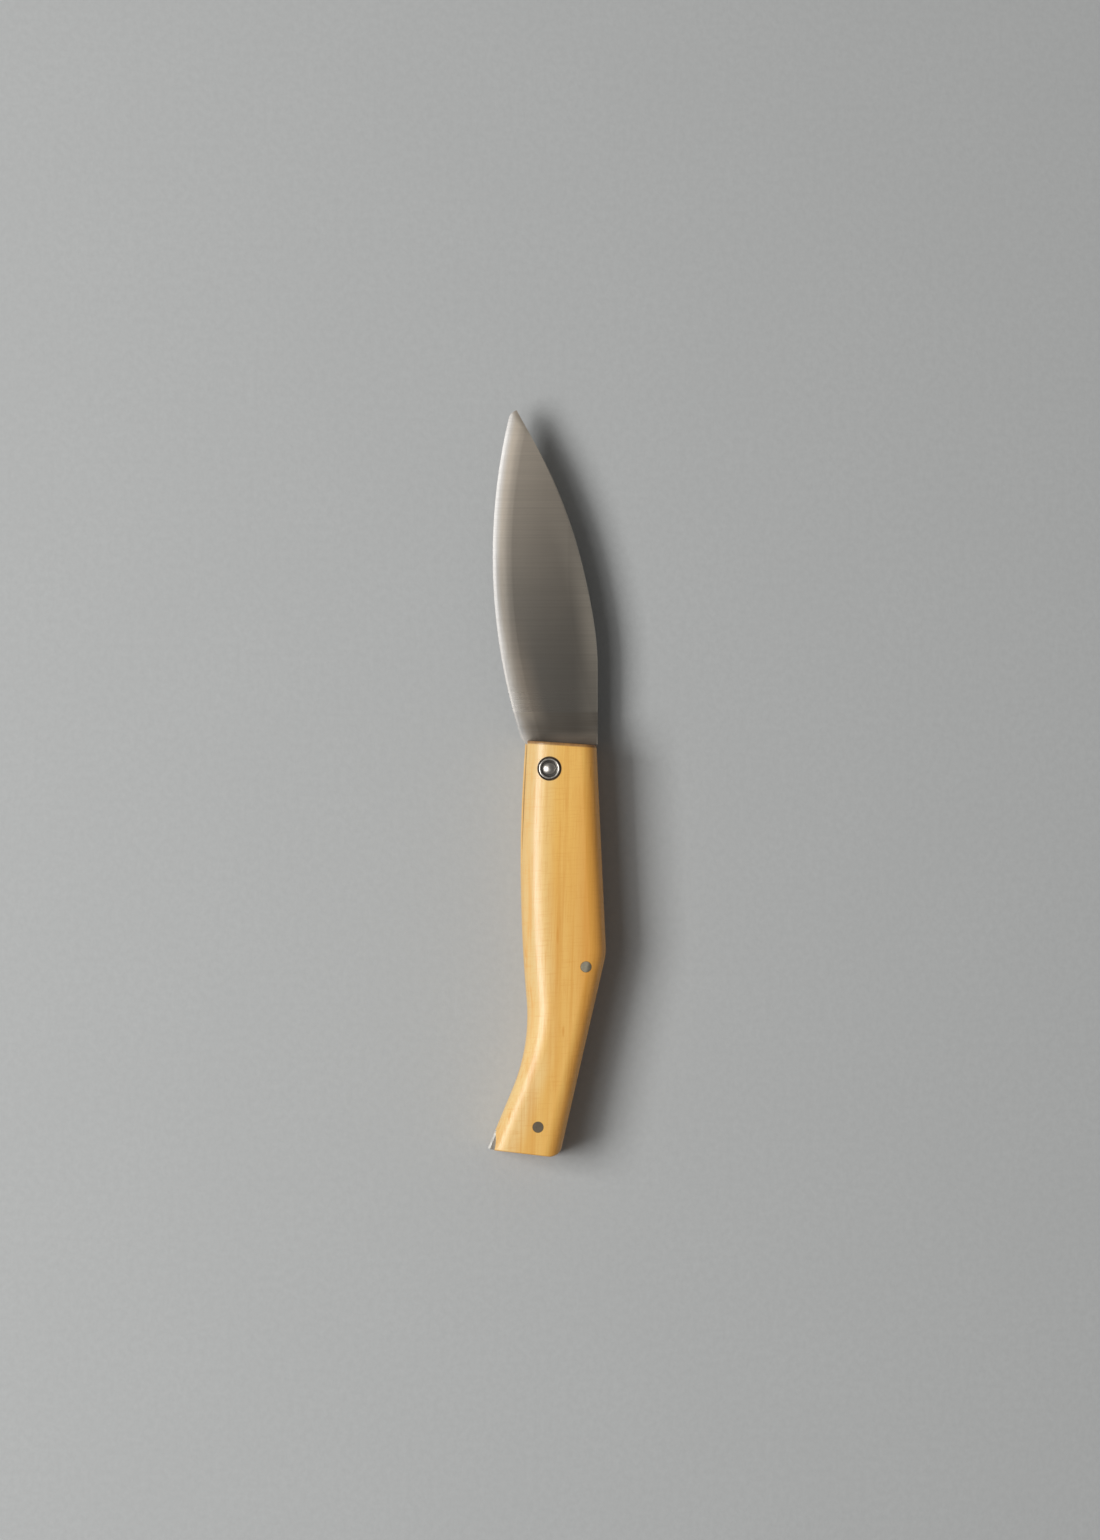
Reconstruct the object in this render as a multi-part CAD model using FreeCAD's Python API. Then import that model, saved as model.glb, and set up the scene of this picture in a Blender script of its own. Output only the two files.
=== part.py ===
"""Folding pocket knife with a wooden handle and a slip-joint back spring.

Millimetres. The knife is drawn about its pivot: +Y runs along the open blade,
+X points to the back of the knife and Z runs through its thickness, with zero
at mid-thickness. At the end it is laid flat, with its origin at the bottom
centre of its box.
"""
import FreeCAD
import Part
import math
import os
from FreeCAD import Vector

# Blade
blade_length = 79.6          # front of the handle to the tip
blade_thickness = 2.0
spine_offset = 11.6          # pivot to the back of the blade
spine_straight = 17.6        # straight stretch of the back, from the handle up
edge_offset = 13.6           # pivot to the deepest point of the cutting edge
edge_crown = 44.6            # front of the handle to that deepest point
edge_radius = 144.0          # the whole cutting edge is one long arc
tip_offset = 1.4             # the tip lies this far inside the edge's arc
tip_round = 2.0              # height of the rounded tip
heel_rise = 1.7              # the cutting edge ends this far above the handle
heel_drop = 0.9              # its rounded heel ends this far inside the handle
edge_thickness = 0.06        # flat left on the cutting edge
bevel_width = 0.5            # honed bevel along the edge
bevel_thickness = 0.226
belly_width = 4.5            # convex part of the grind
belly_thickness = 1.1
grind_width = 18.0           # where the grind runs out into the flat
grind_fade_share = 0.012     # slope that is left where it runs out
plunge_depth = 4.0           # the grind runs this far into the handle
spine_break = 0.3            # softened edges of the back

# Falling part of the spine: share of its height, then share of its fall
spine_shares = [
    (0.268, 0.096),
    (0.500, 0.275),
    (0.810, 0.669),
]

# Tang and pivot
pivot_to_front = 6.4         # pivot to the front end of the handle
tang_flat = 5.0              # pivot to the flats that the spring rests on
cam_lift = 0.7               # how far the round end of the tang lifts the spring
notch_round = 0.5            # inner corner where the spring's nose ends
fold_angle = 169.0           # degrees from open to closed
pivot_diameter = 2.7

# Handle
handle_length = 99.4
handle_width = 20.0
handle_thickness = 15.0
belly_round = 5.9            # rounding of the long edges on the slot's side
beak_round = 4.0             # what it narrows to in the hollow before the beak
back_round = 3.8             # rounding of the long edges on the back
hump_radius = 13.0           # bend of the back
bow_share = 0.68             # how much of the belly's middle run its long bow takes
waist_share = 0.28           # how much of it the hollow before the beak takes
butt_corner = 3.0            # rounded corner of the butt
end_break = 0.4              # softened edges of the two ends
front_slant = 3.6            # degrees that the front end leans
butt_slant = 6.6             # degrees that the butt leans
ease_depth = 0.5             # the front scale is planed back beside the tang
beak_ease_depth = 0.35       # and, less deeply, at the beak
beak_ease_length = 12.5
beak_notch_depth = 2.0       # notch in the front scale that bares the spring
beak_notch_rise = 2.5
beak_notch_radius = 9.8

# Corners of the handle's outline before they are rounded: share of its length
# from the front end, then share of its width from the pivot's line
belly_shares = [
    (-0.060, -0.269),
    (0.339, -0.394),
    (0.732, -0.227),
    (1.060, -0.899),
]
back_shares = [
    (-0.060, 0.549),
    (0.510, 0.680),
    (1.060, 0.054),
]

# Spring and pins
nose_foot = 3.6              # the spring's nose is flat this far past the pivot
nose_step = 7.0              # length of the step behind the nose
edge_room = 1.2              # room between the folded edge and the spring
tip_room = 0.9               # room between the folded tip and the spring's foot
foot_least = 2.0             # least height of that foot at the beak
foot_round = 1.6             # height of the rounded inner corner of the foot
foot_file_width = 0.5        # filed front edge of the foot
foot_file_fall = 0.2
pin_diameter = 2.5
spring_pin_back = 53.9       # front end of the handle to the spring pin
spring_pin_inset = 4.1       # back of the handle to the spring pin
tail_pin_rise = 7.1          # butt to the tail pin
tail_pin_inset = 6.8         # back of the handle to the tail pin
pin_wall = 1.5               # least steel that the spring keeps round a pin

# Pivot washers and the heads of the rivet
washer_diameter = 5.1
washer_dish = 3.5            # diameter of the flat floor of the cup
washer_height = 0.9
washer_wall = 0.72           # height of the outer wall below the bevelled rim
washer_floor = 0.4           # thickness under the cup
head_diameter = 3.1
head_height = 0.6
seat_depth = 1.1             # depth of the washer's seat in the scale

# Clearances
side_gap = 0.1               # blade to scale
pivot_gap = 0.05             # blade to pivot, on the radius
pin_gap = 0.03               # pins to their holes, on the radius
seat_gap = 0.3               # washer to the wall of its seat
nose_gap = 0.05              # spring to the flats of the tang
shoulder_gap = 0.2           # blade's shoulder to the end of the spring
overrun = 8.0                # how far cutting shapes reach past what they cut
trim_gap = 0.02              # keeps the cut of the butt's corner off the back
closeness = 0.001            # how near an edge lies to the end that it is on

up = Vector(0, 0, 1)
along = Vector(0, 1, 0)
across = Vector(1, 0, 0)
pivot = Vector(0, 0, 0)
half_thickness = handle_thickness / 2
half_slot = blade_thickness / 2 + side_gap
front_slope = math.tan(math.radians(front_slant))
butt_slope = math.tan(math.radians(butt_slant))


def line(start, end):
    """Straight edge."""
    return Part.LineSegment(start, end).toShape()


def arc(start, middle, end):
    """Round edge through three points."""
    return Part.Arc(start, middle, end).toShape()


def polyline(points):
    """Straight edges from point to point."""
    return [line(start, end) for start, end in zip(points, points[1:])]


def arc_leaving(start, direction, end, normal=up):
    """Arc that leaves start along direction and stops at end, and its last heading."""
    side = normal.cross(direction).normalize()
    chord = end - start
    reach = chord.dot(chord) / (2 * chord.dot(side))
    centre = start + side * reach
    to_middle = ((start + end) * 0.5 - centre).normalize()
    crown = centre + to_middle * abs(reach)
    chord.normalize()
    heading = chord * (2 * chord.dot(direction)) - direction
    return arc(start, crown, end), heading.normalize()


def half_angle(before, corner, after):
    """Half of the angle at a corner of a path."""
    return (before - corner).getAngle(after - corner) / 2


def corner_points(before, corner, after, radius):
    """Start, crown and end of the arc that rounds a corner of a path."""
    half = half_angle(before, corner, after)
    back = (before - corner).normalize()
    on = (after - corner).normalize()
    start = corner + back * (radius / math.tan(half))
    end = corner + on * (radius / math.tan(half))
    crown = corner + (back + on).normalize() * (radius / math.sin(half) - radius)
    return start, crown, end


def rounded_path(points, radii):
    """Straight runs from point to point, with every inner corner rounded."""
    edges = []
    reached = points[0]
    for before, corner, after, radius in zip(points, points[1:], points[2:], radii):
        start, crown, end = corner_points(before, corner, after, radius)
        edges += [line(reached, start), arc(start, crown, end)]
        reached = end
    return edges + [line(reached, points[-1])]


def meeting_point(start, direction, other, other_direction):
    """Where two straight lines in the plane meet."""
    turn = direction.cross(other_direction).z
    return start + direction * ((other - start).cross(other_direction).z / turn)


def prism(edges, low, high):
    """Solid of a closed outline between two heights."""
    face = Part.Face(Part.Wire(edges))
    face.translate(up * low)
    return face.extrude(up * (high - low))


def rod(centre, diameter, low, high):
    """Round bar along Z."""
    return Part.makeCylinder(diameter / 2, high - low, centre + up * low)


def turned_solid(edges):
    """Solid of a profile in the XZ plane, turned about the pivot."""
    return Part.Face(Part.Wire(edges)).revolve(pivot, up, 360)


def flipped(piece):
    """The piece mirrored to the other side of the slot."""
    return piece.mirror(pivot, up)


def middle_of(edge):
    """Point and heading at the middle of an edge."""
    middle = (edge.FirstParameter + edge.LastParameter) / 2
    return edge.valueAt(middle), edge.tangentAt(middle)


def on_handle(shares):
    """Point of the handle from its two shares."""
    return Vector(handle_width * shares[1], pivot_to_front - handle_length * shares[0], 0)


def on_front(x):
    """Point of the slanted front end."""
    return Vector(x, pivot_to_front - x * front_slope, 0)


def on_butt(x):
    """Point of the slanted butt."""
    return Vector(x, pivot_to_front - handle_length - x * butt_slope, 0)


def beside_back(distance, inset):
    """Point that far behind the front end and that far in from the back."""
    y = pivot_to_front - distance
    run = hump - back_corners[0] if y > hump.y else back_corners[2] - hump
    edge = hump + run * ((y - hump.y) / run.y)
    return Vector(edge.x - inset, y, 0)


def on_circle(centre, radius, y, side):
    """Point of a circle at that height, on the side given by the sign."""
    return Vector(centre.x + side * math.sqrt(radius ** 2 - (y - centre.y) ** 2), y, 0)


def folded(point):
    """Where a point of the open blade lies when the knife is closed."""
    return FreeCAD.Rotation(up, fold_angle).multVec(point)


def unfolded(point):
    """Which point of the open blade lies there when the knife is closed."""
    return FreeCAD.Rotation(up, -fold_angle).multVec(point)


belly_corners = [on_handle(shares) for shares in belly_shares]
back_corners = [on_handle(shares) for shares in back_shares]
hump = back_corners[1]
butt_run = on_butt(handle_width) - on_butt(0)
belly_run = (belly_corners[2] - belly_corners[1]).Length
beak_run = (belly_corners[3] - belly_corners[2]).normalize()
beak_inward = up.cross(beak_run)
beak = meeting_point(belly_corners[3], beak_run, on_butt(0), butt_run)
bow_radius = belly_run * bow_share * math.tan(half_angle(*belly_corners[:3]))
waist_radius = belly_run * waist_share * math.tan(half_angle(*belly_corners[1:]))
spring_pin_place = beside_back(spring_pin_back, spring_pin_inset)
tail_pin_place = beside_back(handle_length - tail_pin_rise, tail_pin_inset)
edge_centre = Vector(edge_radius - edge_offset, pivot_to_front + edge_crown, 0)
tip = on_circle(edge_centre, edge_radius, pivot_to_front + blade_length, -1) + across * tip_offset


def long_edges(bar, side):
    """Outer edges that run the length of the handle, on one side of the pivot's line."""
    found = []
    for edge in bar.Edges:
        place, heading = middle_of(edge)
        outer = abs(abs(place.z) - half_thickness) < closeness
        if outer and abs(heading.y) > abs(heading.x) and place.x * side > 0:
            found.append(edge)
    return found


def hollow_edges(bar):
    """Outer edges of the hollow before the beak."""
    found = []
    for edge in long_edges(bar, -1):
        if isinstance(edge.Curve, Part.Circle) and abs(edge.Curve.Radius - waist_radius) < closeness:
            found.append(edge)
    return found


def end_edges(blank, on_end):
    """Edges that lie on one of the slanted ends."""
    found = []
    for edge in blank.Edges:
        places = [vertex.Point for vertex in edge.Vertexes] + [middle_of(edge)[0]]
        if all(abs(place.y - on_end(place.x).y) < closeness for place in places):
            found.append(edge)
    return found


def rounded_bar():
    """The handle's bar with its long edges rounded, longer than the handle."""
    outline = rounded_path(belly_corners, [bow_radius, waist_radius])
    outline.append(line(belly_corners[-1], back_corners[-1]))
    outline += rounded_path(back_corners[::-1], [hump_radius])
    outline.append(line(back_corners[0], belly_corners[0]))
    bar = prism(outline, -half_thickness, half_thickness)
    bar = bar.makeFillet(back_round, long_edges(bar, 1))
    return bar.makeFillet(belly_round, beak_round, hollow_edges(bar))


def end_trim():
    """Space between the two slanted ends, with the rounded corner of the butt."""
    wide = handle_width + overrun
    back_run = (back_corners[2] - hump).normalize()
    wall = hump + up.cross(back_run) * trim_gap
    corner = meeting_point(wall, back_run, on_butt(0), butt_run)
    wall_top = corner - back_run * overrun
    start, crown, end = corner_points(wall_top, corner, on_butt(-wide), butt_corner)
    outline = polyline([
        end,
        on_butt(-wide),
        on_front(-wide),
        on_front(wide),
        Vector(wide, wall_top.y, 0),
        wall_top,
        start,
    ])
    outline.append(arc(start, crown, end))
    return prism(outline, -handle_thickness, handle_thickness)


def handle_blank():
    """The whole handle in one piece, before it is split into scales."""
    blank = rounded_bar().common(end_trim())
    return blank.makeFillet(end_break, end_edges(blank, on_front) + end_edges(blank, on_butt))


def layer(low, high):
    """Slab across the whole handle between two heights."""
    reach = handle_length + overrun
    return Part.makeBox(2 * reach, 2 * reach, high - low, Vector(-reach, -reach, low))


def drilled(piece):
    """The piece with its two pin holes."""
    for place in (spring_pin_place, tail_pin_place):
        hole = rod(place, pin_diameter + 2 * pin_gap, -handle_thickness, handle_thickness)
        piece = piece.cut(hole)
    return piece


def washer_seat():
    """Pivot hole and the flat seat of the washer, at the front."""
    hole = rod(pivot, pivot_diameter + 2 * pin_gap, 0, handle_thickness)
    floor = half_thickness - seat_depth
    return hole.fuse(rod(pivot, washer_diameter + 2 * seat_gap, floor, handle_thickness))


def ease_cut():
    """What is planed off the front scale beside the tang."""
    lead = belly_corners[1] - belly_corners[0]
    edge = meeting_point(belly_corners[0], lead, on_front(0), on_front(handle_width) - on_front(0))
    start = edge + across * ease_depth
    end = corner_points(*belly_corners[:3], bow_radius)[1]
    run = (start - end).normalize()
    top = start + run * overrun
    low = end - run * overrun
    aside = across * handle_width
    return prism(polyline([top, low, low - aside, top - aside, top]), 0, handle_thickness)


def beak_ease():
    """What is planed off the front scale beside the foot of the spring."""
    start = beak - beak_run * beak_ease_length
    end = beak + beak_inward * beak_ease_depth
    run = (end - start).normalize()
    top = start - run * overrun
    low = end + run * overrun
    aside = beak_inward * handle_width
    return prism(polyline([top, low, low - aside, top - aside, top]), 0, handle_thickness)


def beak_notch():
    """Round notch that bares the foot of the spring at the beak."""
    inset = Vector(beak_notch_depth - beak_notch_radius, beak_notch_rise, 0)
    return rod(beak + inset, 2 * beak_notch_radius, 0, handle_thickness)


def front_scale(blank):
    """Wooden half of the handle at the front."""
    half = drilled(blank.common(layer(half_slot, handle_thickness)))
    for cut in (washer_seat(), ease_cut(), beak_ease(), beak_notch()):
        half = half.cut(cut)
    return half


def back_scale(blank):
    """Wooden half of the handle at the back, whole at its edges."""
    half = drilled(blank.common(layer(-handle_thickness, -half_slot)))
    return half.cut(flipped(washer_seat()))


def spring_outline():
    """Edges of the spring, running past the handle's back, butt and beak."""
    nose = tang_flat + nose_gap
    end_drop = along * (shoulder_gap / 2)
    nose_start = Vector(nose, -nose_foot, 0)
    end_run = on_front(handle_width) - end_drop
    nose_corner = on_front(nose) - end_drop
    nose_bend = corner_points(nose_start, nose_corner, end_run, notch_round + shoulder_gap)

    # Behind the nose the spring keeps clear of the folded cutting edge
    centre = folded(edge_centre)
    radius = edge_radius + edge_room
    floor_top = on_circle(centre, radius, -nose_foot - nose_step, 1)
    rising = up.cross(floor_top - centre)
    step = Part.BSplineCurve()
    step.interpolate(Points=[floor_top, nose_start], InitialTangent=rising, FinalTangent=along)

    # The foot lies below the folded tip
    foot = max(folded(tip).y - tip_room, beak.y + foot_least)
    floor_end = on_circle(centre, radius, foot + foot_round, 1)
    floor_middle = on_circle(centre, radius, (floor_top.y + floor_end.y) / 2, 1)
    sinking = (floor_end - centre).cross(up).normalize()
    corner_reach = (foot - floor_end.y) / sinking.y
    foot_start = floor_end + (sinking - across) * corner_reach
    foot_bend = arc_leaving(floor_end, sinking, foot_start)[0]

    below = on_butt(-handle_width).y - handle_width
    outline = [step.toShape(), line(nose_start, nose_bend[0]), arc(*nose_bend)]
    outline += polyline([
        nose_bend[2],
        end_run,
        Vector(handle_width, below, 0),
        Vector(-handle_width, below, 0),
        Vector(-handle_width, foot, 0),
        foot_start,
    ])
    return outline + [foot_bend, arc(floor_end, floor_middle, floor_top)]


def pin_boss(place):
    """Steel round a pin and from there out to the back of the spring."""
    radius = pin_diameter / 2 + pin_wall
    low = Vector(place.x, place.y - radius, -half_slot)
    web = Part.makeBox(2 * handle_width, 2 * radius, 2 * half_slot, low)
    return web.fuse(rod(place, 2 * radius, -half_slot, half_slot))


def foot_bevel():
    """What is filed off the front edge of the spring's foot, along the belly."""
    corner = beak - beak_run * handle_width + up * half_slot
    inner = corner + beak_inward * foot_file_width
    lower = corner - up * foot_file_fall
    reach = (inner - lower).normalize() * overrun
    clear = corner + (up - beak_inward) * overrun
    face = Part.Face(Part.Wire(polyline([inner + reach, lower - reach, clear, inner + reach])))
    return face.extrude(beak_run * (2 * handle_width))


def back_spring(blank):
    """Spring along the back of the slot: nose on the tang, foot at the beak."""
    spring = prism(spring_outline(), -half_slot, half_slot)
    spring = spring.fuse([pin_boss(spring_pin_place), pin_boss(tail_pin_place)])
    return drilled(spring.removeSplitter().common(blank).cut(foot_bevel()))


def blade_outline():
    """Edges of the open blade and its tang."""
    edge_low = on_circle(edge_centre, edge_radius, pivot_to_front + heel_rise, -1)
    edge_middle = edge_centre - across * edge_radius
    edge_high = on_circle(edge_centre, edge_radius, tip.y - tip_round, -1)
    rising = (edge_high - edge_centre).cross(up).normalize()
    sinking = up.cross(edge_low - edge_centre).normalize()
    heel_end = Vector(-tang_flat, pivot_to_front - heel_drop, 0)
    tip_bend = arc_leaving(edge_high, rising, tip)[0]
    heel_bend = arc_leaving(edge_low, sinking, heel_end)[0]

    spine_low = on_front(spine_offset) + along * (shoulder_gap / 2)
    spine_top = Vector(spine_offset, pivot_to_front + spine_straight, 0)
    fall = tip - spine_top
    points = [spine_top + Vector(fall.x * drop, fall.y * rise, 0) for rise, drop in spine_shares]
    spine = Part.BSplineCurve()
    spine.interpolate(
        Points=[spine_top, *points, tip], InitialTangent=along, FinalTangent=tip - points[-1]
    )

    # Two flats and a round cam between them
    cam_radius = tang_flat + cam_lift
    half_flat = math.sqrt(cam_radius ** 2 - tang_flat ** 2)
    open_end = Vector(tang_flat, -half_flat, 0)
    closed_end = unfolded(Vector(tang_flat, half_flat, 0))
    closed_start = meeting_point(closed_end, unfolded(along), heel_end, along)
    shoulder = on_front(tang_flat) + along * (shoulder_gap / 2)
    notch = corner_points(open_end, shoulder, spine_low, notch_round)
    return [
        arc(edge_low, edge_middle, edge_high),
        tip_bend,
        spine.toShape(),
        line(spine_top, spine_low),
        line(spine_low, notch[2]),
        arc(*notch),
        line(notch[0], open_end),
        arc(open_end, pivot - along * cam_radius, closed_end),
        line(closed_end, closed_start),
        line(closed_start, heel_end),
        heel_bend,
    ]


def spine_edges(leaf):
    """Edges of both faces along the back of the blade."""
    found = []
    for edge in leaf.Edges:
        place = middle_of(edge)[0]
        on_face = abs(abs(place.z) - blade_thickness / 2) < closeness
        straight = abs(place.x - spine_offset) < closeness
        if on_face and (straight or isinstance(edge.Curve, Part.BSplineCurve)):
            found.append(edge)
    return found


def grind():
    """What is ground off the front face, turned about the centre of the edge's arc."""
    def station(width, thickness):
        return edge_centre + Vector(width - edge_radius, 0, thickness / 2)

    run_out = station(grind_width, blade_thickness)
    belly = station(belly_width, belly_thickness)
    bevel = station(bevel_width, bevel_thickness)
    edge = station(0, edge_thickness)
    fade = Vector(1, 0, grind_fade_share).normalize()
    past_run_out = run_out + fade * overrun
    past_edge = edge - across * overrun
    clear = up * blade_thickness
    flat_arc, heading = arc_leaving(run_out, fade * -1, belly, along)
    belly_arc = arc_leaving(belly, heading, bevel, along)[0]
    profile = [flat_arc, belly_arc]
    profile += polyline([
        bevel,
        edge,
        past_edge,
        past_edge + clear,
        past_run_out + clear,
        past_run_out,
        run_out,
    ])
    face = Part.Face(Part.Wire(profile))
    to_heel = edge_centre - Vector(-tang_flat, pivot_to_front - plunge_depth, 0)
    heel_turn = math.degrees(math.atan2(to_heel.y, to_heel.x))
    tip_turn = math.degrees(math.asin((tip.y + overrun - edge_centre.y) / edge_radius))
    face.rotate(edge_centre, up, heel_turn)
    return face.revolve(edge_centre, up * -1, heel_turn + tip_turn)


def blade():
    """Leaf and tang in one piece, ground convex on both faces."""
    leaf = prism(blade_outline(), -blade_thickness / 2, blade_thickness / 2)
    leaf = leaf.makeChamfer(spine_break, spine_edges(leaf))
    removed = grind()
    leaf = leaf.cut(removed).cut(flipped(removed))
    return leaf.cut(rod(pivot, pivot_diameter + 2 * pivot_gap, -blade_thickness, blade_thickness))


def pivot_washer():
    """Cupped washer in its seat at the front."""
    def station(diameter, height):
        return Vector(diameter / 2, 0, half_thickness - seat_depth + height)

    bore = pivot_diameter + 2 * pin_gap
    wall = station(washer_diameter, washer_wall)
    profile = polyline([
        wall,
        station(washer_diameter - 2 * (washer_height - washer_wall), washer_height),
        station(washer_dish, washer_floor),
        station(bore, washer_floor),
        station(bore, 0),
        station(washer_diameter, 0),
        wall,
    ])
    return turned_solid(profile)


def pivot_rivet():
    """Pin of the pivot with a peened dome over each washer."""
    seat = up * (half_thickness - seat_depth + washer_floor)
    top = seat + up * head_height
    rim = seat + across * (head_diameter / 2)
    neck = seat + across * (pivot_diameter / 2)
    through = seat * 2
    front_dome = arc_leaving(top, across, rim, along)[0]
    back_dome = arc_leaving(top * -1, across, rim - through, along)[0]
    profile = [front_dome]
    profile += polyline([rim, neck, neck - through, rim - through])
    profile += [back_dome, line(top * -1, top)]
    return turned_solid(profile)


def flush_pin(place, blank):
    """Pin through the whole handle, filed flush with its rounded sides."""
    return rod(place, pin_diameter, -handle_thickness, handle_thickness).common(blank)


def laid_flat(pieces):
    """The pieces moved so that the origin is the bottom centre of their box."""
    box = Part.makeCompound(list(pieces.values())).optimalBoundingBox(False, False)
    move = Vector(-(box.XMin + box.XMax) / 2, -(box.YMin + box.YMax) / 2, -box.ZMin)
    print("pivot at", [round(value, 3) for value in move])
    return {name: piece.translated(move) for name, piece in pieces.items()}


def main():
    """Builds every piece and writes each to its own file."""
    blank = handle_blank()
    washer = pivot_washer()
    pieces = {
        "front_scale": front_scale(blank),
        "back_scale": back_scale(blank),
        "back_spring": back_spring(blank),
        "blade": blade(),
        "pivot_rivet": pivot_rivet(),
        "front_pivot_washer": washer,
        "back_pivot_washer": flipped(washer),
        "spring_pin": flush_pin(spring_pin_place, blank),
        "tail_pin": flush_pin(tail_pin_place, blank),
    }
    os.makedirs("parts", exist_ok=True)
    for name, piece in laid_flat(pieces).items():
        solids = piece.removeSplitter().Solids
        print(name, len(solids), solids[0].isValid(), round(solids[0].Volume, 2))
        solids[0].exportStep(f"parts/{name}.step")


main()
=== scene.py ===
"""Looks of a folding pocket knife: boxwood scales, a ground steel blade and its fittings.

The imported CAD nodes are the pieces, but for the two pivot washers, which are turned anew
with a rolled rim. Each operator gives one group of pieces its finish, and the last one lays
the knife on pale paper under a soft light from the left.
"""
import math

import bmesh
import bpy
from bpy.props import FloatProperty, FloatVectorProperty, PointerProperty
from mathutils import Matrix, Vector


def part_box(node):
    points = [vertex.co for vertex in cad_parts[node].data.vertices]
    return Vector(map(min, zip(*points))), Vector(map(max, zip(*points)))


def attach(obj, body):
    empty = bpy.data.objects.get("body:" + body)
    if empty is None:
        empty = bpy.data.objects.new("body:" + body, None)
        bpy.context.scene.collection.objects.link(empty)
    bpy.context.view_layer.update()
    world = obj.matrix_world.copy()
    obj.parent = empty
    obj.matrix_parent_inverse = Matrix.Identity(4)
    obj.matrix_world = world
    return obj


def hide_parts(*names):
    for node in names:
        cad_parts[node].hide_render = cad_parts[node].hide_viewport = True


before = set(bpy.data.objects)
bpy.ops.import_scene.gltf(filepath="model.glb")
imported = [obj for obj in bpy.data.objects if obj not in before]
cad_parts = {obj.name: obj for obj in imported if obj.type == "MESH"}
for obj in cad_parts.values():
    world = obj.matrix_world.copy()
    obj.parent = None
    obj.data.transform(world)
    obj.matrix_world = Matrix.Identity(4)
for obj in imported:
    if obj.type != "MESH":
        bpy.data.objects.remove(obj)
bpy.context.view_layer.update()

bl_info = {
    "name": "Folding pocket knife",
    "version": (1, 0, 0),
    "blender": (4, 5, 0),
    "location": "3D View > Sidebar > Knife",
    "description": "Finishes of a folding pocket knife with a boxwood handle",
    "category": "Object",
}

# Handle: how far its front end lies from the rivet, and how that end and the grain lean
PIVOT_TO_FRONT = 0.0064
FRONT_SLOPE = math.tan(math.radians(3.6))
GRAIN_LEAN = math.radians(1.5)

# Belly: a bow and then the straight line of the beak, both over the way back from the front end
PIVOT_TO_BELLY = 0.00575
BELLY_BOW = (1.25, -0.0755)
BEAK_LINE = (-0.36, 0.02655)
BELLY_BLEND = 0.005
HOLLOW_PLACE = 0.0680

# Blade: the back is straight before it falls away, the edge is an arc about a far point, and at
# the tip, which lies to one side of the rivet, the back comes down at a steady slope
STRAIGHT_BACK = 0.018
BACK_FALL = 6.2
EDGE_RADIUS = 0.144
PIVOT_TO_EDGE_CENTRE = Vector((0.1304, 0.0510, 0.0))
TIP_SLOPE = 0.78
PIVOT_TO_TIP = 0.0080

WASHER_BORE = 0.00276

# Stage: the lights' angles are in degrees, and lengths are in metres
KEY_ELEVATION = 45.3
TOP_ELEVATION = 63.5
LIGHT_HEADING = 183.0
LIGHT_COLOUR = (1.0, 0.985, 0.96)
ROOM_COLOUR = (1.0, 0.97, 0.93, 1.0)
ROOM_STRENGTH = 0.15
PAPER_REACH = 4.0
PAPER_DROP = 0.00005
CAMERA_SHIFT = (0.00014, -0.00035)
CAMERA_REACH = 20.0


def node_centre(name):
    """Middle of a CAD node's box."""
    low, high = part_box(name)
    return (low + high) / 2


def node_radius(name):
    """Half the width of a CAD node's box."""
    low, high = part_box(name)
    return (high.x - low.x) / 2


def tinted(colour, parts):
    """Colour with its red, green and blue scaled by these parts."""
    return tuple(value * part for value, part in zip(colour, parts))


def darkened(colour, part):
    """Colour scaled evenly."""
    return tinted(colour, (part, part, part))


def colour_prop(name, description, default):
    """Colour that a user may change."""
    return FloatVectorProperty(
        name=name, description=description, default=default, size=3, min=0.0, max=1.0, subtype="COLOR"
    )


def length_prop(name, description, default):
    """Length that a user may change."""
    return FloatProperty(
        name=name, description=description, default=default, min=0.0, unit="LENGTH", precision=5
    )


def share_prop(name, description, default):
    """Share between nothing and all."""
    return FloatProperty(
        name=name, description=description, default=default, min=0.0, max=1.0, subtype="FACTOR"
    )


def power_prop(name, description, default):
    """Power of a light that a user may change."""
    return FloatProperty(name=name, description=description, default=default, min=0.0, unit="POWER")


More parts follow.
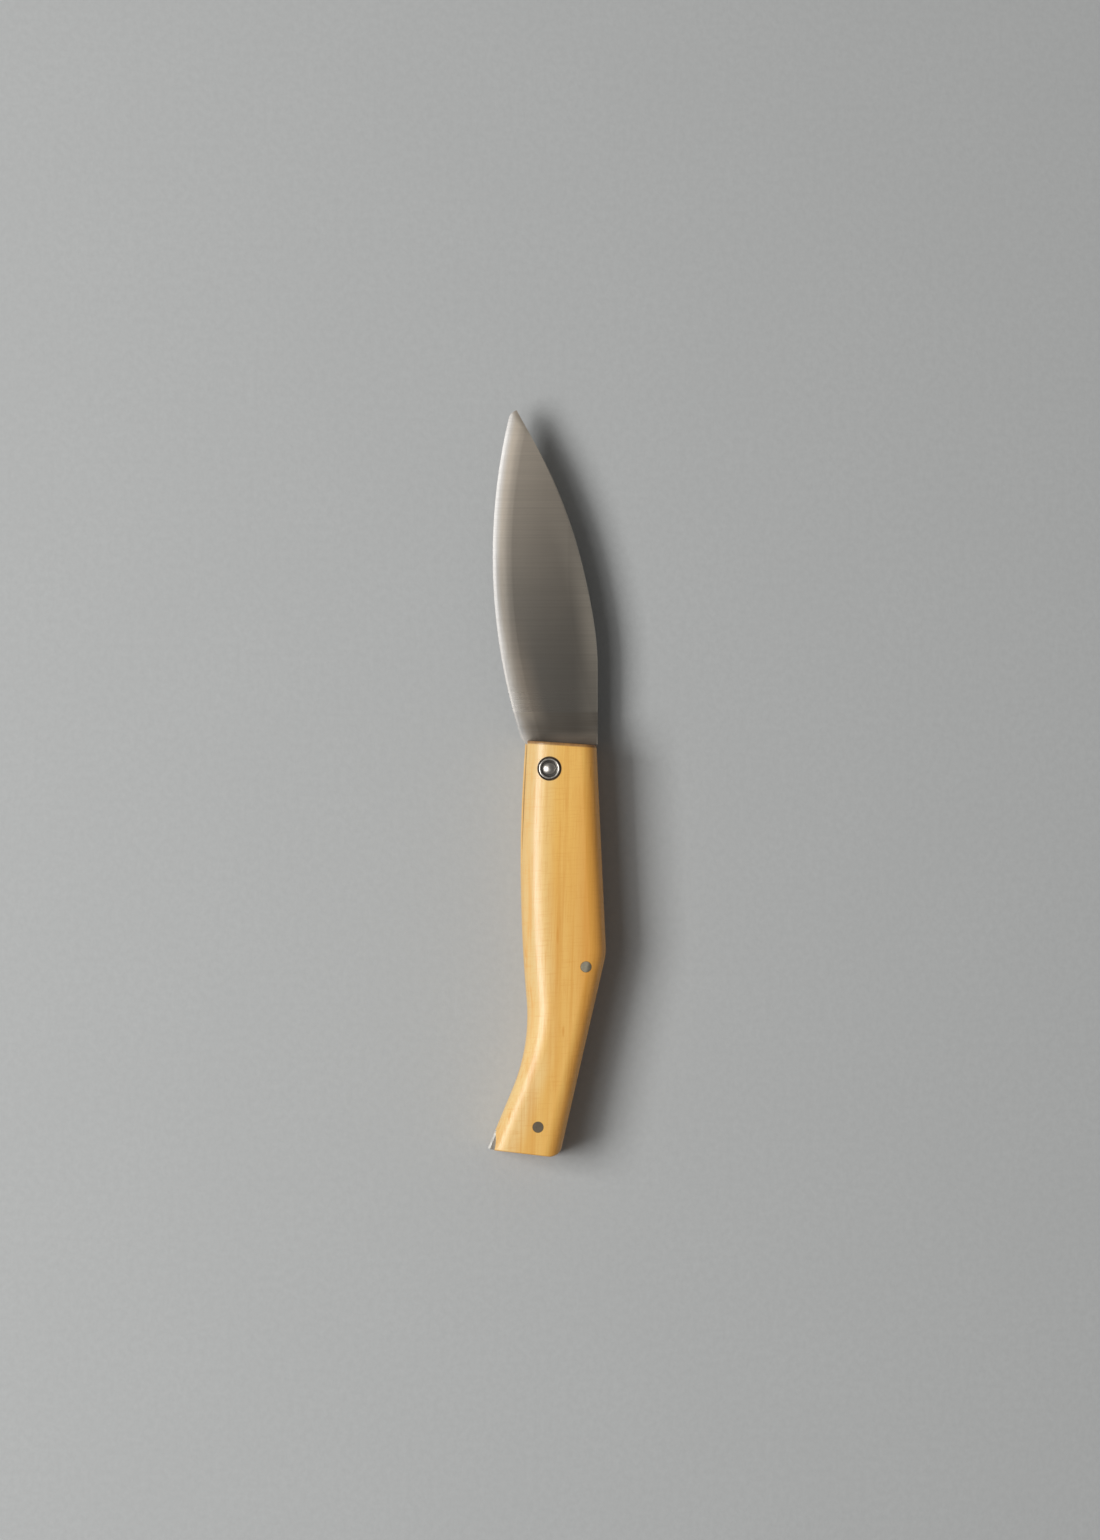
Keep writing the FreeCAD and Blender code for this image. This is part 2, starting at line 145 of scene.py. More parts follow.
class BoxwoodLook(bpy.types.PropertyGroup):
    """Finish of the two scales."""

    light: colour_prop("Light wood", "Colour between the growth lines", (0.870, 0.525, 0.140))
    deep: colour_prop("Deep wood", "Colour of the broader growth bands", (0.805, 0.428, 0.083))
    pale: colour_prop("Pale wood", "Colour of the paler front half", (0.950, 0.580, 0.140))
    # Painted highlight: the band beside the belly, for the highlight on the crowned top
    painted_highlight: colour_prop("Rubbed wood", "Colour of the band rubbed beside the belly", (0.922, 0.650, 0.278))
    # Painted sheen on the rounded belly side and painted shade on the rounded back side
    belly: colour_prop("Belly", "Colour of the rounded belly side", (0.682, 0.478, 0.202))
    back: colour_prop("Back", "Colour of the rounded back side", (0.980, 0.460, 0.091))
    line: colour_prop("Growth line", "Colour of the thin lengthwise lines", (0.690, 0.298, 0.036))
    # Colour of the scorched front end, also used for the painted shade on the slot walls
    scorch_and_shade: colour_prop("End grain", "Colour of the scorched front end", (0.230, 0.105, 0.038))
    # Colour of the stain round the pins, also used for the painted shade round the washer's seat
    stain_and_shade: colour_prop("Stain", "Colour of the dark ring round each pin", (0.070, 0.045, 0.025))
    band_width: length_prop("Band width", "Width of the broad growth bands", 0.0052)
    line_width: length_prop("Line spacing", "Spacing of the thin growth lines", 0.0011)
    fibre_width: length_prop("Fibre width", "Width of the fine fibres", 0.00030)
    ring_width: length_prop("Pin ring", "Width of the dark ring round each pin", 0.00006)
    # The lip is the strip left out of the slot walls' painted shade
    slot_lip: length_prop("Slot lip", "Clean lip of the slot along the belly", 0.00024)
    seat_gap: length_prop("Seat gap", "Gap between a pivot washer and its seat", 0.0003)
    roughness: share_prop("Roughness", "Roughness of the waxed wood", 0.50)


class SteelLook(bpy.types.PropertyGroup):
    """Finish of the blade and the fittings."""

    blade: colour_prop("Blade", "Colour of the ground blade", (0.590, 0.560, 0.510))
    spring: colour_prop("Spring", "Colour of the filed back spring", (0.320, 0.314, 0.300))
    rivet: colour_prop("Rivet", "Colour of the polished rivet", (0.650, 0.625, 0.580))
    washer: colour_prop("Washer", "Colour of the turned washers", (0.600, 0.580, 0.545))
    spring_pin: colour_prop("Spring pin", "Colour of the middle pin", (0.420, 0.384, 0.292))
    tail_pin: colour_prop("Tail pin", "Colour of the pin near the butt", (0.208, 0.170, 0.122))
    grind_spacing: length_prop("Grind lines", "Spacing of the lines ground across the blade", 0.00018)
    heel_band: length_prop("Heel band", "Coarser ground stretch in front of the handle", 0.0072)
    # Painted reflection along the straight part of the back
    spine_reflection: length_prop("Spine band", "Brighter band along the straight part of the back", 0.0062)
    roughness: share_prop("Blade roughness", "Roughness of the satin blade", 0.26)
    washer_rim: length_prop("Washer rim", "Half the width of the washers' rolled rim", 0.00026)


class StageLook(bpy.types.PropertyGroup):
    """Paper, light and camera."""

    paper: colour_prop("Paper", "Colour of the paper that the knife lies on", (0.466, 0.482, 0.491))
    key_power: power_prop("Key light", "Power of the soft light from the left", 20.0)
    key_height: length_prop("Key height", "Height of that light's panel", 0.62)
    top_power: power_prop("Top light", "Power of the dim panel above it", 4.4)
    top_height: length_prop("Top height", "Height of the dim panel", 0.46)
    panel_width: length_prop("Panel width", "Width of both panels", 0.98)
    panel_distance: length_prop("Panel distance", "Distance of both panels", 1.5)
    camera_distance: length_prop("Camera distance", "Height of the camera above the rivet", 3.5)
    frame_height: length_prop("Frame height", "Height of the picture at the knife", 0.3696)


class Finish:
    """A material as it is laid down, node by node."""

    def __init__(self, name):
        self.material = bpy.data.materials.new(name)
        self.material.use_nodes = True
        self.tree = self.material.node_tree
        self.tree.nodes.clear()
        self.output = self.tree.nodes.new("ShaderNodeOutputMaterial")
        self.place = self.node("ShaderNodeTexCoord").outputs["Object"]

    def node(self, kind, sockets=None, **settings):
        """Adds a node, with its settings and what feeds its sockets."""
        made = self.tree.nodes.new(kind)
        for key, value in settings.items():
            setattr(made, key, value)
        for key, value in (sockets or {}).items():
            self.feed(made.inputs[key], value)
        return made

    def feed(self, socket, value):
        """Links a socket, or sets its value."""
        if isinstance(value, bpy.types.NodeSocket):
            self.tree.links.new(value, socket)
        elif socket.type == "RGBA" and len(value) == 3:
            socket.default_value = (*value, 1.0)
        else:
            socket.default_value = value

    def math(self, operation, first, second=0.0, third=0.0):
        """One operation on up to three values."""
        made = self.node("ShaderNodeMath", {0: first, 1: second, 2: third}, operation=operation)
        return made.outputs[0]

    def times(self, first, *others):
        """Product of values."""
        for other in others:
            first = self.math("MULTIPLY", first, other)
        return first

    def stretched(self, spacing, turn=0.0):
        """Place on the piece, measured in these spacings along X, Y and Z."""
        turned = self.node(
            "ShaderNodeVectorRotate", {"Vector": self.place, "Angle": turn}, rotation_type="Z_AXIS"
        )
        scale = tuple(1.0 / value for value in spacing)
        return self.node(
            "ShaderNodeVectorMath", {0: turned.outputs[0], 1: scale}, operation="MULTIPLY"
        ).outputs[0]

    def noise(self, spacing, detail=2.0, rough=0.5, warp=0.0, turn=0.0):
        """Cloudy value between 0 and 1 at these spacings."""
        made = self.node("ShaderNodeTexNoise", {
            "Vector": self.stretched(spacing, turn),
            "Scale": 1.0,
            "Detail": detail,
            "Roughness": rough,
            "Distortion": warp,
        })
        return made.outputs["Fac"]

    def between(self, value, low, high, to_low=0.0, to_high=1.0):
        """Value eased from one range to another."""
        made = self.node("ShaderNodeMapRange", {
            "Value": value,
            "From Min": low,
            "From Max": high,
            "To Min": to_low,
            "To Max": to_high,
        }, interpolation_type="SMOOTHSTEP")
        return made.outputs["Result"]

    def mix(self, share, first, second, blend="MIX"):
        """Share of a second colour laid over the first."""
        made = self.node(
            "ShaderNodeMix", {0: share, 6: first, 7: second}, data_type="RGBA", blend_type=blend
        )
        return made.outputs[2]

    def bump(self, height, depth, under=None):
        """Small relief of that depth."""
        sockets = {"Height": height, "Strength": 1.0, "Distance": depth}
        if under is not None:
            sockets["Normal"] = under
        return self.node("ShaderNodeBump", sockets).outputs["Normal"]

    def apart(self, centre):
        """Distance from an upright line through a point."""
        flat = self.node("ShaderNodeVectorMath", {0: self.place, 1: (1.0, 1.0, 0.0)}, operation="MULTIPLY")
        far = self.node(
            "ShaderNodeVectorMath", {0: flat.outputs[0], 1: (centre.x, centre.y, 0.0)}, operation="DISTANCE"
        )
        return far.outputs["Value"]

    def axis(self, vector, name):
        """One part of a vector."""
        return self.node("ShaderNodeSeparateXYZ", {0: vector}).outputs[name]

    def facing(self, name):
        """How far the surface faces along one axis of the piece."""
        return self.axis(self.node("ShaderNodeTexCoord").outputs["Normal"], name)

    def surface(self, **sockets):
        """Closes the material with one shader."""
        named = {}
        for key, value in sockets.items():
            named[key.replace("_", " ").title().replace("Ior", "IOR")] = value
        shader = self.node("ShaderNodeBsdfPrincipled", named)
        self.tree.links.new(shader.outputs[0], self.output.inputs["Surface"])
        return self.material


def wear(material, *names):
    """Gives CAD nodes their material."""
    for name in names:
        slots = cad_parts[name].data.materials
        slots.clear()
        slots.append(material)


def belly_distances(wood, along, across, pivot):
    """How far a place lies behind the front end and inside the belly's line."""
    behind = wood.math("SUBTRACT", pivot.y + PIVOT_TO_FRONT, along)
    bow = wood.math("MULTIPLY", behind, wood.math("MULTIPLY_ADD", behind, *BELLY_BOW))
    beak = wood.math("MULTIPLY_ADD", behind, *BEAK_LINE)
    belly_line = wood.math("ADD", wood.math("SMOOTH_MIN", bow, beak, BELLY_BLEND), pivot.x - PIVOT_TO_BELLY)
    return behind, wood.math("SUBTRACT", across, belly_line)


def stained_and_shaded_at_pins(wood, look, colour):
    """Colour with a dark stain ring round each pin, and painted shade in the gap round the washer's seat.
    """
    width = look.ring_width
    pin_radius = node_radius("spring_pin")
    for name in ("spring_pin", "tail_pin"):
        far = wood.apart(node_centre(name))
        ring = wood.between(far, pin_radius + width, pin_radius + 2.2 * width, 0.85, 0.0)
        smudge = wood.between(far, pin_radius, pin_radius + 7.0 * width, 0.18, 0.0)
        colour = wood.mix(smudge, colour, look.line)
        colour = wood.mix(ring, colour, look.stain_and_shade)
    # Painted shade in the gap round the washer's seat
    seat_radius = node_radius("front_pivot_washer") + look.seat_gap
    far = wood.apart(node_centre("pivot_rivet"))
    seat = wood.between(far, seat_radius + width, seat_radius + 2.0 * width, 0.9, 0.0)
    return wood.mix(seat, colour, look.stain_and_shade)


def boxwood(look):
    """Waxed boxwood with straight lengthwise grain, scorched at the front and stained at the pins, with
    painted highlight, sheen and shade.
    """
    wood = Finish("boxwood_waxed")
    bands = wood.noise(
        (look.band_width, 0.11, look.band_width), detail=3.0, rough=0.55, warp=0.3, turn=GRAIN_LEAN
    )
    lines = wood.noise((look.line_width, 0.060, look.line_width), detail=3.0, rough=0.6, turn=GRAIN_LEAN)
    fibres = wood.noise((look.fibre_width, 0.0075, look.fibre_width), rough=0.6, turn=GRAIN_LEAN)
    flecks = wood.noise((0.0009, 0.011, 0.0009), detail=1.0, turn=GRAIN_LEAN)
    scuffs = wood.noise((0.0050, 0.00042, 0.0050), rough=0.6, turn=-2.0 * GRAIN_LEAN)
    clouds = wood.noise((0.016, 0.030, 0.016))

    along = wood.axis(wood.place, "Y")
    across = wood.axis(wood.place, "X")
    pivot = node_centre("pivot_rivet")
    behind, inside = belly_distances(wood, along, across, pivot)
    paler = wood.between(along, pivot.y - 0.040, pivot.y - 0.010, 0.0, 0.5)
    colour = wood.mix(wood.between(bands, 0.34, 0.68), look.light, look.deep)
    colour = wood.mix(paler, colour, look.pale)
    colour = wood.mix(wood.between(clouds, 0.30, 0.70, 0.0, 0.14), colour, look.light)

    # A band beside the belly is a painted highlight, though less in the hollow, and the wood is deeper at
    # the back
    off_hollow = wood.math("ABSOLUTE", wood.math("SUBTRACT", behind, HOLLOW_PLACE))
    painted_highlight = wood.times(
        wood.between(inside, 0.0090, 0.0045),
        wood.between(off_hollow, 0.004, 0.014, 0.35, 1.0),
        wood.between(behind, 0.070, 0.084, 0.8, 1.0),
    )
    # Partly the wood's own deeper tone and partly painted shade where the curve turns from the light
    deeper = wood.times(
        wood.between(across, pivot.x + 0.0050, pivot.x + 0.0085, 0.0, 0.5),
        wood.between(along, pivot.y + 0.002, pivot.y - 0.008, 0.2, 1.0),
    )
    colour = wood.mix(painted_highlight, colour, look.painted_highlight)
    colour = wood.mix(deeper, colour, look.line)

    # The rounded belly side is painted paler and greyer, a painted sheen, and the rounded back side deeper
    # orange, a painted shade
    side = wood.facing("X")
    belly = wood.mix(wood.between(behind, 0.050, 0.075, 0.0, 0.45), look.belly, look.painted_highlight)
    colour = wood.mix(wood.between(side, -0.05, -0.45, 0.0, 0.85), colour, belly)
    colour = wood.mix(wood.between(side, 0.10, 0.65, 0.0, 0.8), colour, look.back)

    for marks, start, full, share in (
        (lines, 0.44, 0.76, 0.46),
        (fibres, 0.45, 0.80, 0.40),
        (flecks, 0.72, 0.80, 0.60),
        (scuffs, 0.48, 0.80, 0.30),
    ):
        colour = wood.mix(wood.between(marks, start, full, 0.0, share), colour, look.line)

    # The front end leans and is scorched along its edge, and the butt is a little deeper in colour
    butt_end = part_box("front_scale")[0].y
    off_pivot = wood.math("SUBTRACT", across, pivot.x)
    front = wood.math("MULTIPLY_ADD", off_pivot, -FRONT_SLOPE, pivot.y + PIVOT_TO_FRONT)
    scorched = wood.times(
        wood.between(wood.math("SUBTRACT", front, along), 0.00095, 0.00050, 0.0, 0.9),
        wood.between(lines, 0.35, 0.65, 1.0, 0.85),
    )
    butt = wood.times(
        wood.between(wood.facing("Y"), -0.30, -0.85, 0.0, 0.55),
        wood.between(along, butt_end + 0.006, butt_end + 0.004),
    )
    colour = wood.mix(butt, colour, look.line)
    colour = wood.mix(scorched, colour, look.scorch_and_shade)
    colour = stained_and_shaded_at_pins(wood, look, colour)

    # The walls of the slot carry painted shade, but for a lip along the belly
    upright = wood.math("ABSOLUTE", wood.facing("Z"))
    off_middle = wood.math("ABSOLUTE", wood.math("SUBTRACT", wood.axis(wood.place, "Z"), pivot.z))
    slot_shade = wood.times(
        wood.between(upright, 0.80, 0.95),
        wood.between(off_middle, 0.0014, 0.0012),
        wood.between(inside, look.slot_lip, 1.6 * look.slot_lip, 0.0, 0.6),
    )
    colour = wood.mix(slot_shade, colour, look.scorch_and_shade)

    relief = wood.math("MULTIPLY_ADD", fibres, 0.6, lines)
    normal = wood.bump(relief, 0.000012, wood.bump(clouds, 0.00006))
    rough = wood.math("ADD", wood.between(fibres, 0.2, 0.8, -0.04, 0.06), look.roughness)
    rough = wood.math("MULTIPLY_ADD", scorched, 0.3, rough)
    return wood.surface(
        base_color=colour, roughness=rough, normal=normal, ior=1.5,
        coat_weight=0.40, coat_roughness=0.21,
    )


def ground_steel(look):
    """Satin steel with fine lines ground across the blade, coarser at the heel."""
    steel = Finish("blade_satin")
    step = look.grind_spacing
    lines = steel.noise((0.040, step, 0.040), detail=3.0, rough=0.6)
    coarse = steel.noise((0.020, 1.8 * step, 0.020))
    brushed = steel.noise((0.030, 2.4 * step, 0.030), rough=0.6)
    clouds = steel.noise((0.009, 0.014, 0.009))

    along = steel.axis(steel.place, "Y")
    across = steel.axis(steel.place, "X")
    pivot = node_centre("pivot_rivet")
    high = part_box("blade")[1]
    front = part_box("front_scale")[1].y
    ahead = steel.math("SUBTRACT", along, front)
    heel = steel.between(ahead, look.heel_band, look.heel_band - 0.0008)
    towards_tip = steel.between(ahead, 0.0, high.y - front)

    # A brighter band, a painted reflection, follows the back, which runs straight and then falls away to
    # the tip in a bow
    past = steel.math("MAXIMUM", steel.math("SUBTRACT", ahead, STRAIGHT_BACK), 0.0)
    fall = steel.times(past, past, BACK_FALL)
    to_back = steel.math("SUBTRACT", steel.math("SUBTRACT", high.x, across), fall)
    band = steel.times(
        steel.between(to_back, look.spine_reflection, 0.0003),
        steel.between(ahead, 0.062, 0.026),
        steel.between(ahead, 0.012, 0.024, 0.6, 1.0),
    )

    dark = darkened(look.blade, 0.58)
    dull = tinted(look.blade, (0.40, 0.37, 0.34))
    warm = tinted(look.blade, (1.08, 1.01, 0.935))
    painted_highlight = tinted(look.blade, (1.05, 0.97, 0.90))
    reflection_tint = tinted(look.blade, (1.30, 1.25, 1.17))
    # Painted reflection: darker at the heel and warmer towards the tip
    colour = steel.mix(towards_tip, dark, warm)
    colour = steel.mix(steel.math("MULTIPLY", band, 0.8), colour, reflection_tint)
    colour = steel.mix(steel.between(lines, 0.30, 0.75, 0.0, 0.16), colour, look.spring)
    colour = steel.mix(steel.times(heel, steel.between(coarse, 0.30, 0.80, 0.5, 0.8)), colour, dull)
    colour = steel.mix(steel.between(clouds, 0.35, 0.75, 0.0, 0.10), colour, warm)

    # The cutting edge is honed to bare grey, with a duller line beside it in the middle of the blade
    to_edge = steel.math("SUBTRACT", EDGE_RADIUS, steel.apart(pivot + PIVOT_TO_EDGE_CENTRE))
    dull_line = steel.times(
        steel.between(to_edge, 0.0006, 0.0010),
        steel.between(to_edge, 0.0030, 0.0012),
        steel.between(ahead, 0.016, 0.034, 0.0, 0.60),
        steel.between(ahead, 0.038, 0.050, 1.0, 0.45),
    )
    bare = steel.between(to_edge, 0.0022, 0.0004, 0.0, 0.9)
    colour = steel.mix(dull_line, colour, dull)
    colour = steel.mix(bare, colour, (0.5, 0.5, 0.5), blend="SATURATION")

    # The tip is darkened along the back, a painted shade where the back turns away from the light
    from_tip = steel.math("SUBTRACT", high.y, along)
    back_line = steel.math("MULTIPLY_ADD", from_tip, TIP_SLOPE, pivot.x - PIVOT_TO_TIP)
    off_back = steel.math("SUBTRACT", back_line, across)
    tip_shade = steel.times(
        steel.between(from_tip, 0.0075, 0.0010, 0.0, 0.9),
        steel.between(off_back, 0.0026, 0.0004, 0.3, 1.0),
    )
    colour = steel.mix(tip_shade, colour, dull)

    # Painted highlights brighten the heel towards the edge, for the reflection of the convex grind, and
    # against the handle, for the reflection of the wood
    grind_highlight = steel.times(
        steel.between(to_edge, 0.0085, 0.0040),
        steel.between(ahead, 0.034, 0.012),
        steel.between(to_edge, 0.0016, 0.0042, 0.12, 1.0),
        steel.between(ahead, 0.0030, 0.0075, 0.22, 1.0),
    )
    beside = steel.times(
        steel.between(to_edge, 0.004, 0.010, 0.15, 0.8),
        steel.between(ahead, 0.0028, 0.0002),
    )
    colour = steel.mix(steel.math("MAXIMUM", grind_highlight, beside), colour, painted_highlight)
    colour = steel.mix(steel.between(brushed, 0.30, 0.75, 0.0, 0.16), colour, dull)

    normal = steel.bump(steel.math("MULTIPLY_ADD", heel, coarse, lines), 0.0000004)
    rough = steel.math("ADD", steel.between(lines, 0.2, 0.8, 0.004, 0.016), look.roughness)
    for share, more in ((towards_tip, 0.12), (heel, 0.03), (band, 0.07)):
        rough = steel.math("MULTIPLY_ADD", share, more, rough)
    tangent = steel.node("ShaderNodeTangent", direction_type="RADIAL", axis="Y").outputs[0]
    return steel.surface(
        base_color=colour, metallic=1.0, roughness=rough, normal=normal,
        anisotropic=0.55, anisotropic_rotation=0.25, tangent=tangent,
    )


def filed_steel(name, colour, spacing, roughness, contrast):
    """Dull steel with fine file marks along these spacings, as strong as that contrast."""
    steel = Finish(name)
    marks = steel.noise(spacing, detail=3.0, rough=0.6)
    clouds = steel.noise((0.0012, 0.0012, 0.0012), detail=3.0)
    dark = darkened(colour, 0.72)
    shade = steel.mix(steel.between(marks, 0.30, 0.75, 0.0, contrast), colour, dark)
    shade = steel.mix(steel.between(clouds, 0.45, 0.75, 0.0, 0.45 * contrast), shade, dark)
    normal = steel.bump(marks, 0.000004)
    rough = steel.between(clouds, 0.25, 0.75, roughness - 0.06, roughness + 0.08)
    return steel.surface(base_color=shade, metallic=1.0, roughness=rough, normal=normal)


def turned_steel(name, colour, spacing, depth, roughness, darker_span):
    """Bright steel with fine rings turned round the pivot, darker from one distance to another."""
    steel = Finish(name)
    far = steel.apart(node_centre("pivot_rivet"))
    ring = steel.node("ShaderNodeTexNoise", {
        "W": steel.math("DIVIDE", far, spacing), "Scale": 1.0, "Detail": 2.0,
    }, noise_dimensions="1D").outputs["Fac"]
    spots = steel.noise((0.0007, 0.0007, 0.0007), detail=3.0)
    dark = darkened(colour, 0.66)
    shade = steel.mix(steel.between(ring, 0.35, 0.75, 0.0, 0.5), colour, dark)
    shade = steel.mix(steel.between(spots, 0.55, 0.75, 0.0, 0.5), shade, dark)
    shade = steel.mix(steel.between(far, *darker_span, 0.0, 0.8), shade, darkened(colour, 0.12))
    normal = steel.bump(ring, depth)
    rough = steel.between(spots, 0.25, 0.75, roughness - 0.04, roughness + 0.08)
    return steel.surface(base_color=shade, metallic=1.0, roughness=rough, normal=normal)


def washer_profile(low, high, rim, bore):
    """Half section of a cupped washer with a rolled rim: radius and height of each point, all round it."""
    radius = (high.x - low.x) / 2
    height = high.z - low.z
    bevel = 0.0001
    middle = radius - rim
    bend = [math.radians(angle) for angle in range(0, 190, 10)]
    rolled = [(middle + rim * math.cos(turn), height - rim + rim * math.sin(turn)) for turn in bend]
    floor = 0.44 * height
    hollow = middle - 2.1 * rim
    return [(radius - bevel, 0.0), (radius, bevel), *rolled, (hollow, floor), (bore, floor), (bore, 0.0)]


def turned_piece(name, profile, centre, foot, upright):
    """Mesh of a half section turned about an upright line, with its foot at that height."""
    around = 72
    crease = math.radians(35.0)
    mesh = bpy.data.meshes.new(name)
    work = bmesh.new()
    rings = []
    for step in range(around):
        turn = 2.0 * math.pi * step / around
        ring = []
        for radius, height in profile:
            x = centre.x + radius * math.cos(turn)
            y = centre.y + radius * math.sin(turn)
            ring.append(work.verts.new((x, y, foot + upright * height)))
        rings.append(ring)
    for near, far in zip(rings, rings[1:] + rings[:1]):
        for index in range(len(profile)):
            after = (index + 1) % len(profile)
            work.faces.new((near[index], far[index], far[after], near[after]))
    bmesh.ops.recalc_face_normals(work, faces=work.faces)
    for face in work.faces:
        face.smooth = True
    for edge in work.edges:
        edge.smooth = edge.calc_face_angle(0.0) < crease
    work.to_mesh(mesh)
    work.free()
    return bpy.data.objects.new(name, mesh)


def paper_sheet(look):
    """Pale card with a faint mottle."""
    card = Finish("pale_card")
    mottle = card.noise((0.0016, 0.0016, 0.0016), detail=4.0, rough=0.7)
    clouds = card.noise((0.030, 0.030, 0.030))
    deeper = darkened(look.paper, 0.93)
    colour = card.mix(card.between(mottle, 0.25, 0.75), deeper, look.paper)
    colour = card.mix(card.between(clouds, 0.30, 0.70, 0.0, 0.2), colour, deeper)
    normal = card.bump(mottle, 0.00005)
    rough = card.between(mottle, 0.2, 0.8, 0.80, 0.92)
    return card.surface(base_color=colour, roughness=rough, normal=normal, specular_ior_level=0.2)


class KNIFE_OT_scales(bpy.types.Operator):
    """Finish both scales in waxed boxwood"""

    bl_idname = "knife.scales"
    bl_label = "Boxwood scales"

    def execute(self, context):
        wear(boxwood(context.scene.knife_wood), "front_scale", "back_scale")
        return {"FINISHED"}


class KNIFE_OT_blade(bpy.types.Operator):
    """Finish the blade in satin ground steel"""

    bl_idname = "knife.blade"
    bl_label = "Ground blade"

    def execute(self, context):
        wear(ground_steel(context.scene.knife_steel), "blade")
        return {"FINISHED"}


class KNIFE_OT_spring(bpy.types.Operator):
    """Finish the back spring in filed steel"""

    bl_idname = "knife.spring"
    bl_label = "Back spring"

    def execute(self, context):
        look = context.scene.knife_steel
        marks = (0.00022, 0.009, 0.00022)
        finish = filed_steel("spring_filed", look.spring, marks, roughness=0.54, contrast=1.0)
        wear(finish, "back_spring")
        return {"FINISHED"}


class KNIFE_OT_pivot(bpy.types.Operator):
    """Polish the rivet and turn its two cupped washers"""

    bl_idname = "knife.pivot"
    bl_label = "Pivot rivet and washers"

    def execute(self, context):
        look = context.scene.knife_steel
        # The rivet and the washers are darker between these distances from the pivot
        polished = turned_steel(
            "rivet_polished", look.rivet, spacing=0.0005, depth=0.000004,
            roughness=0.36, darker_span=(0.00125, 0.00155),
        )
        wear(polished, "pivot_rivet")
        turned = turned_steel(
            "washer_turned", look.washer, spacing=0.00009, depth=0.000003,
            roughness=0.36, darker_span=(0.00208, 0.00190),
        )
        centre = node_centre("pivot_rivet")
        for name, upright in (("front", 1.0), ("back", -1.0)):
            node = f"{name}_pivot_washer"
            low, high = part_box(node)
            foot = low.z if upright > 0.0 else high.z
            profile = washer_profile(low, high, look.washer_rim, WASHER_BORE / 2)
            washer = turned_piece(f"{name}_cupped_washer", profile, centre, foot, upright)
            washer.data.materials.append(turned)
            context.scene.collection.objects.link(washer)
            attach(washer, "handle")
            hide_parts(node)
        return {"FINISHED"}


class KNIFE_OT_pins(bpy.types.Operator):
    """Finish the two flush pins"""

    bl_idname = "knife.pins"
    bl_label = "Flush pins"

    def execute(self, context):
        look = context.scene.knife_steel
        marks = (0.0011, 0.00009, 0.0011)
        filed = filed_steel("spring_pin_filed", look.spring_pin, marks, roughness=0.46, contrast=0.6)
        dulled = filed_steel("tail_pin_dulled", look.tail_pin, marks, roughness=0.50, contrast=0.6)
        wear(filed, "spring_pin")
        wear(dulled, "tail_pin")
        return {"FINISHED"}


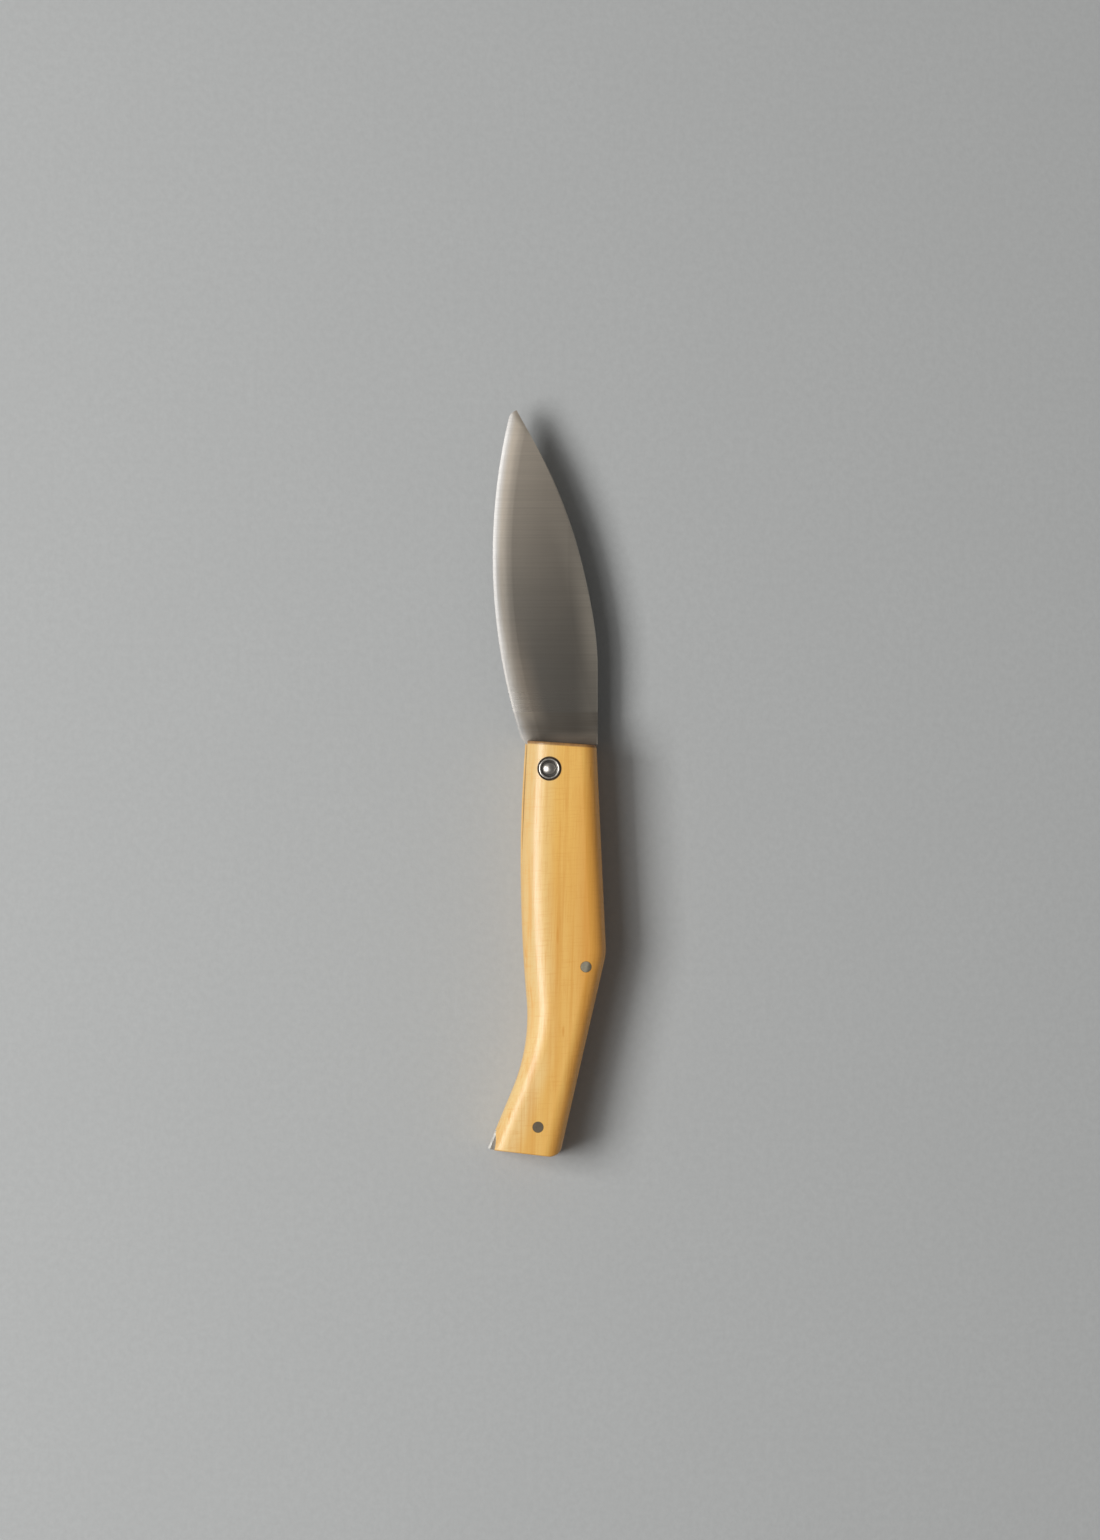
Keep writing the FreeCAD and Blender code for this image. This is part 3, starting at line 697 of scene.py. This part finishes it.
class KNIFE_OT_stage(bpy.types.Operator):
    """Lay out the paper, the soft light and the camera"""

    bl_idname = "knife.stage"
    bl_label = "Stage"

    def execute(self, context):
        scene = context.scene
        look = scene.knife_stage
        self.lay_paper(scene, look)
        self.hang_panel(scene, look, "key", look.key_power, look.key_height, KEY_ELEVATION)
        self.hang_panel(scene, look, "top", look.top_power, look.top_height, TOP_ELEVATION)
        self.light_room(scene)
        self.set_camera(scene, look)
        scene.view_settings.view_transform = "Standard"
        return {"FINISHED"}

    def lay_paper(self, scene, look):
        """Wide sheet just under the knife."""
        reach = PAPER_REACH
        mesh = bpy.data.meshes.new("paper")
        corners = [(-reach, -reach, 0.0), (reach, -reach, 0.0), (reach, reach, 0.0), (-reach, reach, 0.0)]
        mesh.from_pydata(corners, [], [(0, 1, 2, 3)])
        paper = bpy.data.objects.new("paper", mesh)
        paper.location.z = -PAPER_DROP
        mesh.materials.append(paper_sheet(look))
        scene.collection.objects.link(paper)

    def hang_panel(self, scene, look, name, power, height, elevation):
        """Soft panel of light, turned towards the handle."""
        lamp = bpy.data.lights.new(name, "AREA")
        lamp.shape = "RECTANGLE"
        lamp.size = look.panel_width
        lamp.size_y = height
        lamp.energy = power
        lamp.color = LIGHT_COLOUR
        panel = bpy.data.objects.new(name, lamp)
        rise = math.radians(elevation)
        heading = math.radians(LIGHT_HEADING)
        level = math.cos(rise)
        towards = Vector((math.cos(heading) * level, math.sin(heading) * level, math.sin(rise)))
        panel.location = node_centre("front_scale") + towards * look.panel_distance
        panel.rotation_euler = towards.to_track_quat("Z", "Y").to_euler()
        scene.collection.objects.link(panel)

    def light_room(self, scene):
        """Faint even light from all round."""
        world = bpy.data.worlds.new("room")
        world.use_nodes = True
        background = world.node_tree.nodes["Background"]
        background.inputs["Color"].default_value = ROOM_COLOUR
        background.inputs["Strength"].default_value = ROOM_STRENGTH
        scene.world = world

    def set_camera(self, scene, look):
        """Camera straight above the rivet."""
        data = bpy.data.cameras.new("camera")
        data.lens = data.sensor_width * look.camera_distance / look.frame_height
        data.clip_end = CAMERA_REACH
        camera = bpy.data.objects.new("camera", data)
        pivot = node_centre("pivot_rivet")
        camera.location = pivot + Vector((*CAMERA_SHIFT, look.camera_distance))
        scene.collection.objects.link(camera)
        scene.camera = camera


class VIEW3D_PT_knife(bpy.types.Panel):
    """Finishes of the knife, and the operators that apply them"""

    bl_label = "Folding pocket knife"
    bl_space_type = "VIEW_3D"
    bl_region_type = "UI"
    bl_category = "Knife"

    def draw(self, context):
        """Lists every size and colour, and then the operators."""
        for holder in LOOKS:
            look = getattr(context.scene, holder)
            box = self.layout.box()
            for name in look.__annotations__:
                box.prop(look, name)
        for operator in OPERATORS:
            self.layout.operator(operator.bl_idname)


LOOKS = {"knife_wood": BoxwoodLook, "knife_steel": SteelLook, "knife_stage": StageLook}
OPERATORS = (
    KNIFE_OT_scales,
    KNIFE_OT_blade,
    KNIFE_OT_spring,
    KNIFE_OT_pivot,
    KNIFE_OT_pins,
    KNIFE_OT_stage,
)


def register():
    """Registers the classes and gives the scene its looks."""
    for cls in (*LOOKS.values(), *OPERATORS, VIEW3D_PT_knife):
        bpy.utils.register_class(cls)
    for holder, cls in LOOKS.items():
        setattr(bpy.types.Scene, holder, PointerProperty(type=cls))


def unregister():
    """Takes the looks and the classes away again."""
    for holder in LOOKS:
        delattr(bpy.types.Scene, holder)
    for cls in (VIEW3D_PT_knife, *reversed(OPERATORS), *reversed(LOOKS.values())):
        bpy.utils.unregister_class(cls)


def main():
    """Finishes every piece and sets the stage."""
    register()
    bpy.ops.knife.scales()
    bpy.ops.knife.blade()
    bpy.ops.knife.spring()
    bpy.ops.knife.pivot()
    bpy.ops.knife.pins()
    bpy.ops.knife.stage()


if __name__ == "__main__":
    main()
